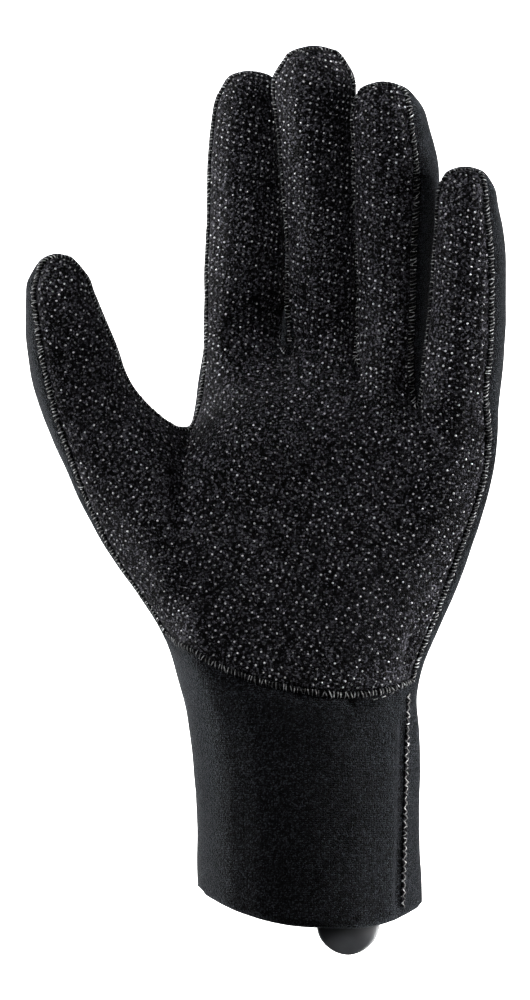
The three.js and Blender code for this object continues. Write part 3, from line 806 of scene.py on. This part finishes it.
def smooth_line(line, rounds, closed):
    """Moves each step of a line towards its neighbours, some rounds over."""
    for _ in range(rounds):
        moved = (np.roll(line, 1, axis=0) + 2 * line + np.roll(line, -1, axis=0)) / 4
        if not closed:
            moved[0], moved[-1] = line[0], line[-1]
        line = moved
    return line


def line_axes(line, up, closed):
    """Along, sideways and up at each step of a line."""
    along = np.roll(line, -1, axis=0) - np.roll(line, 1, axis=0)
    if not closed:
        along[0], along[-1] = line[1] - line[0], line[-1] - line[-2]
    along = unit(along)
    side = unit(np.cross(along, up))
    return along, side, np.cross(side, along)


def sweep(rings, closed):
    """Joins each ring of points to the next, with a cap at both ends of an open row of rings."""
    count, sides = len(rings), len(rings[0])
    faces = []
    for i in range(count if closed else count - 1):
        a, b = i * sides, (i + 1) % count * sides
        for j in range(sides):
            k = (j + 1) % sides
            faces.append((a + j, b + j, b + k, a + k))
    if not closed:
        faces.append(tuple(range(sides)))
        faces.append(tuple(reversed(range((count - 1) * sides, count * sides))))
    return [point for ring in rings for point in ring], faces


def stitch_sizes(count):
    """How high and wide the ridge stands at each step: every stitch pulls it in a little differently."""
    random = np.random.default_rng(3)
    stitches = count // RIDGE_STEPS + 2
    own = 1 + STITCH_WAVER * (random.random(stitches) - 0.5) * 2
    at = np.arange(count) / RIDGE_STEPS
    return np.interp(at, np.arange(stitches), own)


def ridge(line, up, half_width, height, closed):
    """A raised seam that each stitch pinches. Its foot lies below the cloth."""
    _, side, top = line_axes(line, up, closed)
    sizes = stitch_sizes(len(line))
    rings = []
    for i in range(len(line)):
        pinch = 0.5 + 0.5 * cos(2 * pi * i / RIDGE_STEPS)
        wide = half_width * (1 - PINCH_WIDE * pinch) * (0.5 + 0.5 * sizes[i])
        high = height * (1 - PINCH_HIGH * pinch) * sizes[i]
        ring = []
        for j in range(RIDGE_PROFILE):
            a = pi * (j / (RIDGE_PROFILE - 1))
            notch = 1 - NOTCH_DEPTH * np.exp(-((a - pi / 2) / NOTCH_REACH) ** 2)
            lift = high * sin(a) ** RIDGE_SQUARE * notch if 0 < j < RIDGE_PROFILE - 1 else RIDGE_FOOT
            ring.append(line[i] + side[i] * wide * -cos(a) + top[i] * lift)
        rings.append(ring)
    return sweep(rings, closed)


def circle(middle, right, up, sides):
    """Points round a middle."""
    turns = [2 * pi * j / sides for j in range(sides)]
    return [middle + right * cos(a) + up * sin(a) for a in turns]


def tube(path, ups, radius):
    """A closed thread along a path."""
    _, side, top = line_axes(np.array(path), np.array(ups), False)
    rings = [circle(p, s * radius, t * radius, THREAD_SIDES) for p, s, t in zip(path, side, top)]
    return sweep(rings, False)


def gather(parts):
    """Joins many small meshes in one."""
    points, faces = [], []
    for part_points, part_faces in parts:
        start = len(points)
        points.extend(part_points)
        faces.extend(tuple(i + start for i in face) for face in part_faces)
    return points, faces


def wrap_stitches(line, up, half_width, height, slant, closed, zigzag=False):
    """Threads that wrap over a ridge, one at each pinch in it. No two lie quite alike."""
    random = np.random.default_rng(11)
    along, side, top = line_axes(line, up, closed)
    sizes = stitch_sizes(len(line))
    parts = []
    for number, i in enumerate(range(0, len(line), RIDGE_STEPS)):
        lean = slant * (-1 if zigzag and number % 2 else 1) + random.normal(0, STITCH_STRAY)
        shift = random.normal(0, STITCH_STRAY / 3)
        thick = THREAD_RADIUS * random.uniform(*THREAD_RANGE)
        path = []
        for a in np.linspace(STITCH_TURN[0] * pi, STITCH_TURN[1] * pi, STITCH_POINTS):
            rise = height * STITCH_HIGH * sizes[i] * sin(a) ** RIDGE_SQUARE + thick / 2
            across = half_width * STITCH_WIDE * (0.5 + 0.5 * sizes[i]) * -cos(a)
            path.append(line[i] + side[i] * across + top[i] * rise + along[i] * (shift - lean * cos(a) / 2))
        parts.append(tube(path, [along[i]] * STITCH_POINTS, thick))
    return parts


def on_front(tree, route, spacing):
    """A route given by x and z, laid on the front of the glove."""
    ends = np.array(route)
    way = ways_along(ends)
    at = np.arange(0, way[-1], spacing)
    points, ups = [], []
    for x, z in zip(np.interp(at, way, ends[:, 0]), np.interp(at, way, ends[:, 1])):
        place, normal, _, _ = tree.ray_cast(Vector((x, FRONT_OF_ALL, z)), Vector((0, 1, 0)))
        points.append(place)
        ups.append(normal)
    return np.array(points), np.array(ups)


def running_stitches(line, up):
    """Short straight stitches with gaps between them."""
    parts = []
    for start in range(0, len(line) - RUNNING_STEPS, RUNNING_STEPS):
        run = slice(start, start + int(RUNNING_STEPS * RUNNING_SHARE))
        parts.append(tube(line[run] + up[run] * THREAD_RADIUS / 2, up[run], THREAD_RADIUS))
    return parts


def pattern_places(low, high, turned):
    """Dots of the six-sided cells over a stretch of flat cloth."""
    turn = FINGER_TURN if turned else 0
    spin = np.array(((cos(turn), -sin(turn)), (sin(turn), cos(turn))))
    basis = np.stack([CELL_RIGHT, CELL_UP], axis=1)
    ends = [np.array((x, y)) for x in (low[0], high[0]) for y in (low[1], high[1])]
    corners = [np.linalg.solve(basis, spin.T @ end) for end in ends]
    first = np.floor(np.min(corners, axis=0)).astype(int) - 1
    last = np.ceil(np.max(corners, axis=0)).astype(int) + 1
    steps = range(-CELL_RINGS, CELL_RINGS + 1)
    cell = [q * DOT_RIGHT + r * DOT_UP for q in steps for r in steps if abs(q + r) <= CELL_RINGS]
    places = []
    for i in range(first[0], last[0] + 1):
        for j in range(first[1], last[1] + 1):
            centre = i * CELL_RIGHT + j * CELL_UP
            places += [spin @ (centre + dot) for dot in cell]
    return places


def lay_dots(surface, normals, loop):
    """Where each dot lies on the palm panel, and which way it faces."""
    seam = tree_of(surface.points[loop])
    found = []
    for patch in sorted(set(surface.patches[surface.panels == "palm"])):
        mine = (surface.panels == "palm") & (surface.patches == patch)
        faces, flats = surface.faces[mine], surface.flats[mine]
        tree = tree_of([(u, v, 0) for u, v in flats.mean(axis=1)])
        turned = patch in FINGERS
        for place in pattern_places(flats.min(axis=(0, 1)), flats.max(axis=(0, 1)), turned):
            _, face, far = tree.find(Vector((*place, 0)))
            if far > FACE_REACH:
                continue
            corner, right, up = flats[face][0], flats[face][1], flats[face][3]
            try:
                s, t = np.linalg.solve(np.stack([right - corner, up - corner], axis=1), place - corner)
            except np.linalg.LinAlgError:
                continue
            if max(abs(s - 0.5), abs(t - 0.5)) > 0.5 + FACE_MARGIN:
                continue
            share = np.array(((1 - s) * (1 - t), s * (1 - t), s * t, (1 - s) * t))
            point = share @ surface.points[faces[face]]
            normal = share @ normals[faces[face]]
            if seam.find(Vector(point))[2] > DOT_MARGIN:
                found.append((point, normal / np.linalg.norm(normal)))
    return found


def dot_mesh(point, normal, size):
    """A low dome of silicone with its foot in the cloth."""
    across = np.cross(normal, (0, 0, 1))
    across *= DOT_RADIUS * size / np.linalg.norm(across)
    other = np.cross(normal, across)
    rings = []
    for wide, high in DOT_RINGS:
        rings.append(circle(point + normal * high, across * wide, other * wide, DOT_SIDES))
    points, faces = sweep(rings, False)
    rim = faces.pop()
    faces += [(a, b, len(points)) for a, b in zip(rim, (*rim[1:], rim[0]))]
    return [*points, point + normal * DOT_HEIGHT], faces


def dots_object(surface, normals, loop):
    """All the grip dots, each a little different in size."""
    random = np.random.default_rng(7)
    dots = lay_dots(surface, normals, loop)
    return make_object("grip_dots", *gather(dot_mesh(*dot, random.uniform(*DOT_SIZES)) for dot in dots))


def inner_front(x, z):
    """Depth of the front wall's inner face near the rim."""
    low, high = named(ROW, ROWS["rim"]), named(ROW, ROWS["cuff_low"])
    up = min(max(z / high["left_z"], 0), 1)
    half = (low["right_x"] - low["left_x"]) / 2
    bulge = (1 - abs(x / half) ** CUFF_SQUARE) ** (1 / CUFF_SQUARE)
    return -(low["front"] + (high["front"] - low["front"]) * up) * bulge + WALL


def tab_outline(part):
    """Half width and height of the tab, from 0 at its top to 1 at its round end."""
    if part < TAB_STRAIGHT:
        return TAB_HALF_WIDTH, TAB_TOP * (1 - part / TAB_STRAIGHT)
    a = (part - TAB_STRAIGHT) / (1 - TAB_STRAIGHT) * pi / 2
    return TAB_HALF_WIDTH * max(cos(a), 0) ** TAB_ROUND, -TAB_BELOW_RIM * sin(a)


def tab_object():
    """A smooth rubber tongue that thins towards its round edges."""
    rings = []
    for part in np.linspace(0, TAB_END, TAB_ALONG + 1):
        half, z = tab_outline(part)
        end = min(1, (TAB_BELOW_RIM + z) / TAB_END_REACH + TAB_END_LEAST) ** 0.5
        lean = TAB_LEAN * max(-z / TAB_BELOW_RIM, 0) ** 2
        front, back = [], []
        for s in np.linspace(-1, 1, TAB_ACROSS + 1):
            x = TAB_MIDDLE + half * s
            y = inner_front(x, z) + TAB_CLEAR + TAB_THICK / 2 - lean
            edge = (1 - abs(s) ** TAB_SIDE_SQUARE) ** 0.5
            thick = TAB_THICK / 2 * max(edge * end, TAB_THINNEST)
            front.append((x, y - thick, z))
            back.append((x, y + thick, z))
        rings.append([*front, *reversed(back)])
    return make_object("pull_tab_rubber", *sweep(rings, False))


class Nodes:
    """A short way to write a material's nodes."""

    def __init__(self, name):
        self.material = bpy.data.materials.new(name)
        self.material.use_nodes = True
        self.tree = self.material.node_tree
        self.shader = self.tree.nodes["Principled BSDF"]

    def add(self, kind, **settings):
        node = self.tree.nodes.new(kind)
        for key, value in settings.items():
            if hasattr(node, key):
                setattr(node, key, value)
            else:
                node.inputs[key.replace("_", " ")].default_value = value
        return node

    def link(self, output, socket):
        self.tree.links.new(output, socket)

    def shade(self, **values):
        for key, value in values.items():
            self.shader.inputs[key.replace("_", " ")].default_value = value

    def texture(self, kind, **settings):
        """A texture that lies in the glove's own space."""
        node = self.add(kind, **settings)
        self.link(self.add("ShaderNodeTexCoord").outputs["Object"], node.inputs["Vector"])
        return node

    def cells(self, scale):
        """Small cells, and a tone of its own for each."""
        cells = self.texture("ShaderNodeTexVoronoi", Scale=scale)
        own = self.add("ShaderNodeSeparateColor")
        self.link(cells.outputs["Color"], own.inputs["Color"])
        return cells, own.outputs["Red"]

    def colour(self, tone, dark, light):
        """Colours the surface from dark to light by its tone."""
        mix = self.add("ShaderNodeMix", data_type="RGBA")
        mix.inputs[6].default_value = (*dark, 1)
        mix.inputs[7].default_value = (*light, 1)
        self.link(tone, mix.inputs[0])
        self.link(mix.outputs[2], self.shader.inputs["Base Color"])

    def maths(self, operation, a, b):
        node = self.add("ShaderNodeMath", operation=operation)
        for socket, value in zip(node.inputs, (a, b)):
            if isinstance(value, (int, float)):
                socket.default_value = value
            else:
                self.link(value, socket)
        return node.outputs[0]

    def bump(self, height, strength, distance):
        node = self.add("ShaderNodeBump", Strength=strength, Distance=distance)
        self.link(height, node.inputs["Height"])
        self.link(node.outputs["Normal"], self.shader.inputs["Normal"])


def knit(nodes, ribs):
    """Height of a fine knit in the flat cloth: ribs crossed by rows of loops, roughened a little."""
    place = nodes.add("ShaderNodeUVMap", uv_map="flat")
    waves = []
    for direction, scale in (("X", ribs), ("Y", ribs * KNIT_SQUASH)):
        wave = nodes.add("ShaderNodeTexWave", bands_direction=direction, Scale=scale, **KNIT_ROUGH)
        nodes.link(place.outputs["UV"], wave.inputs["Vector"])
        waves.append(wave.outputs["Fac"])
    return nodes.maths("MULTIPLY", *waves)


def cloth_material(name):
    """Stretch cloth: each loop of the knit stands up with its own tone, and the whole is a little cloudy."""
    cloth = named(CLOTH, CLOTHS[name])
    nodes = Nodes(name)
    weave = knit(nodes, cloth["ribs"])
    loops, own = nodes.cells(cloth["loops"])
    cloud = nodes.texture("ShaderNodeTexNoise", Scale=45.0, Detail=3.0)
    tone = nodes.maths("POWER", own, cloth["contrast"])
    for shade in (nodes.maths("MULTIPLY", weave, KNIT_TONE), cloud.outputs["Fac"]):
        tone = nodes.maths("MULTIPLY", tone, nodes.maths("ADD", shade, LEAST_TONE))
    nodes.colour(tone, cloth["dark"], cloth["light"])
    hump = nodes.maths("SUBTRACT", 1.0, loops.outputs["Distance"])
    height = nodes.maths("ADD", nodes.maths("MULTIPLY", weave, KNIT_LIFT), hump)
    nodes.bump(height, strength=1.0, distance=0.0004)
    nodes.shade(Roughness=0.62, Specular_IOR_Level=0.02)
    nodes.shade(Sheen_Weight=cloth["sheen"], Sheen_Roughness=0.3, Sheen_Tint=(0.8, 0.9, 1, 1))
    return nodes.material


def thread_material(name):
    """Twisted thread: most strands are nearly black, and a few are coloured light as painted glints."""
    nodes = Nodes(name)
    fibre = nodes.texture("ShaderNodeTexNoise", Scale=2600.0, Detail=2.0).outputs["Fac"]
    _, own = nodes.cells(950.0)
    nodes.colour(nodes.maths("MULTIPLY", nodes.maths("POWER", own, THREAD_CONTRAST), fibre), *THREADS[name])
    nodes.bump(fibre, strength=0.4, distance=0.0001)
    nodes.shade(Roughness=0.42, Sheen_Weight=0.05, Sheen_Roughness=0.4)
    return nodes.material


def dot_material():
    """Silicone, some dots of it clear and dark and some milky."""
    nodes = Nodes("silicone_dot")
    _, own = nodes.cells(420.0)
    nodes.colour(nodes.maths("POWER", own, DOT_CONTRAST), *DOT_COLOURS)
    nodes.shade(Roughness=0.22)
    return nodes.material


def rubber_material():
    """Fine-grained rubber with smears, and painted shade that darkens it where it comes out of the cuff."""
    nodes = Nodes("tab_rubber")
    grain = nodes.texture("ShaderNodeTexNoise", Scale=900.0, Detail=2.0)
    smear = nodes.texture("ShaderNodeTexNoise", Scale=120.0, Detail=2.0)
    # Painted shade: the tone falls by height towards the rim, standing for the rim's shadow on the tab.
    height = nodes.texture("ShaderNodeSeparateXYZ")
    shade = nodes.add("ShaderNodeMapRange", interpolation_type="SMOOTHSTEP", **TAB_PAINTED_SHADE)
    nodes.link(height.outputs["Z"], shade.inputs["Value"])
    nodes.colour(nodes.maths("MULTIPLY", smear.outputs["Fac"], shade.outputs["Result"]), *TAB_COLOURS)
    nodes.bump(grain.outputs["Fac"], strength=0.15, distance=0.0001)
    nodes.shade(Roughness=0.5, Specular_IOR_Level=0.3)
    return nodes.material


def finish_piece(piece, material, slot, *replaced):
    """Gives a piece its material, puts it on the root body, and hides the parts that it replaces."""
    piece.data.materials.append(material)
    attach(piece, "root")
    if replaced:
        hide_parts(*replaced)
    return piece


def build_glove():
    """The glove's whole outer skin, and the seam between its two panels."""
    roots, loop = add_roots()
    for (name, finger), root in zip(FINGERS.items(), roots):
        skin_finger(finger, name, root, FINGER_BACK_LINES, 1)
    rows = skin_palm(loop)
    skin_finger(THUMB, "thumb", thumb_root(rows), THUMB_BACK_LINES, 0)
    cage.as_arrays()
    drop_unused(cage)
    fit_cage(cage)
    skin = cage
    for _ in range(FINE_STEPS):
        skin = subdivide(skin)
    edges, _, counts = edges_of(skin.faces)
    skin.points = limit_points(skin, edges, counts)
    seam = seam_loop(skin)
    shape_details(skin, seam)
    shape_rim(skin)
    return skin, seam


skin, seam = build_glove()
skin_normals = normals_of(skin)
skin_tree = bvhtree.BVHTree.FromPolygons(skin.points.tolist(), skin.faces.tolist())

for panel, name, cloth, slot, cut in (
    ("palm", "palm_cloth", "grip_cloth", "grip_fabric", PALM_CUT),
    ("back", "back_cloth", "neoprene", "neoprene", BACK_CUT),
):
    wall = make_object(name, *panel_wall(skin, skin_normals, panel))
    finish_piece(wall, cloth_material(cloth), slot, panel + "_panel")

seam_line, seam_up = resample(skin.points[seam], skin_normals[seam], STITCH_PITCH / RIDGE_STEPS)
seam_line, seam_up = smooth_line(seam_line, LINE_ROUNDS, True), smooth_line(seam_up, UP_ROUNDS, True)
side_line, side_up = on_front(skin_tree, SIDE_SEAM, SIDE_PITCH / RIDGE_STEPS)
side_line, side_up = (smooth_line(values, LINE_ROUNDS, False) for values in (side_line, side_up))
ridges = [
    ridge(seam_line, seam_up, SEAM_HALF_WIDTH, SEAM_HEIGHT, True),
    ridge(side_line, side_up, SIDE_HALF_WIDTH, SIDE_HEIGHT, False),
]
finish_piece(make_object("seam_ridges", *gather(ridges)), cloth_material("seam_cloth"), "neoprene")

stitches = wrap_stitches(seam_line, seam_up, SEAM_HALF_WIDTH, SEAM_HEIGHT, SEAM_SLANT, True)
finish_piece(make_object("seam_threads", *gather(stitches)), thread_material("thread"), "neoprene")
stitches = wrap_stitches(side_line, side_up, SIDE_HALF_WIDTH, SIDE_HEIGHT, SIDE_SLANT, False, True)
stitches += running_stitches(*on_front(skin_tree, RUNNING_STITCH, RUNNING_PITCH / RUNNING_STEPS))
side_threads = make_object("side_seam_threads", *gather(stitches))
finish_piece(side_threads, thread_material("light_thread"), "neoprene")

finish_piece(dots_object(skin, skin_normals, seam), dot_material(), "grip_fabric")
finish_piece(tab_object(), rubber_material(), "tab_rubber", "pull_tab")


def add_floor():
    """A pale floor below the glove that sweeps up behind it."""
    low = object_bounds()[0][2] - FLOOR_DROP
    back = FLOOR_HALF_SIZE / 2
    profile = [(-FLOOR_HALF_SIZE, low), (back, low)]
    for i in range(1, FLOOR_SWEEP_STEPS + 1):
        a = pi / 2 * i / FLOOR_SWEEP_STEPS
        profile.append((back + FLOOR_SWEEP * sin(a), low + FLOOR_SWEEP * (1 - cos(a))))
    profile.append((back + FLOOR_SWEEP, low + FLOOR_HALF_SIZE))
    points = [(x, y, z) for y, z in profile for x in (-FLOOR_HALF_SIZE, FLOOR_HALF_SIZE)]
    faces = [(2 * i, 2 * i + 1, 2 * i + 3, 2 * i + 2) for i in range(len(profile) - 1)]
    floor = make_object("floor", points, faces)
    nodes = Nodes("floor")
    nodes.shade(Roughness=0.9, Base_Color=FLOOR_COLOUR)
    floor.data.materials.append(nodes.material)


def add_lamp(name, place, aim, size, power, spread):
    """A soft lamp at a place, turned to its aim."""
    data = bpy.data.lights.new(name, "AREA")
    data.shape = "RECTANGLE"
    data.size, data.size_y = size
    data.energy = power
    data.spread = radians(spread)
    lamp = bpy.data.objects.new(name, data)
    lamp.location = place
    lamp.rotation_euler = (aim - place).to_track_quat("-Z", "Y").to_euler()
    bpy.context.scene.collection.objects.link(lamp)


def add_lamps():
    for name, (turn, rise, aim_height, *settings) in LIGHTS.items():
        a, e = radians(turn), radians(rise)
        aim = Vector((0, 0, aim_height))
        place = aim + Vector((sin(a) * cos(e), -cos(a) * cos(e), sin(e))) * LIGHT_AWAY
        add_lamp(name, place, aim, *settings)
    add_lamp("backdrop", Vector(BACKDROP_PLACE), Vector(BACKDROP_AIM), *BACKDROP)


def add_camera():
    data = bpy.data.cameras.new("camera")
    data.sensor_width = SENSOR
    data.lens = SENSOR * CAMERA_AWAY / FRAME_HEIGHT
    data.clip_end = CAMERA_REACH
    camera = bpy.data.objects.new("camera", data)
    camera.location = (FRAME_MIDDLE[0], -CAMERA_AWAY, FRAME_MIDDLE[1])
    camera.rotation_euler = (pi / 2, 0, 0)
    bpy.context.scene.collection.objects.link(camera)
    bpy.context.scene.camera = camera


def add_world():
    world = bpy.data.worlds.new("studio")
    world.use_nodes = True
    background = world.node_tree.nodes["Background"]
    background.inputs["Color"].default_value = (1, 1, 1, 1)
    background.inputs["Strength"].default_value = WORLD_LIGHT
    bpy.context.scene.world = world
    bpy.context.scene.view_settings.view_transform = "Standard"


add_floor()
add_lamps()
add_world()
add_camera()
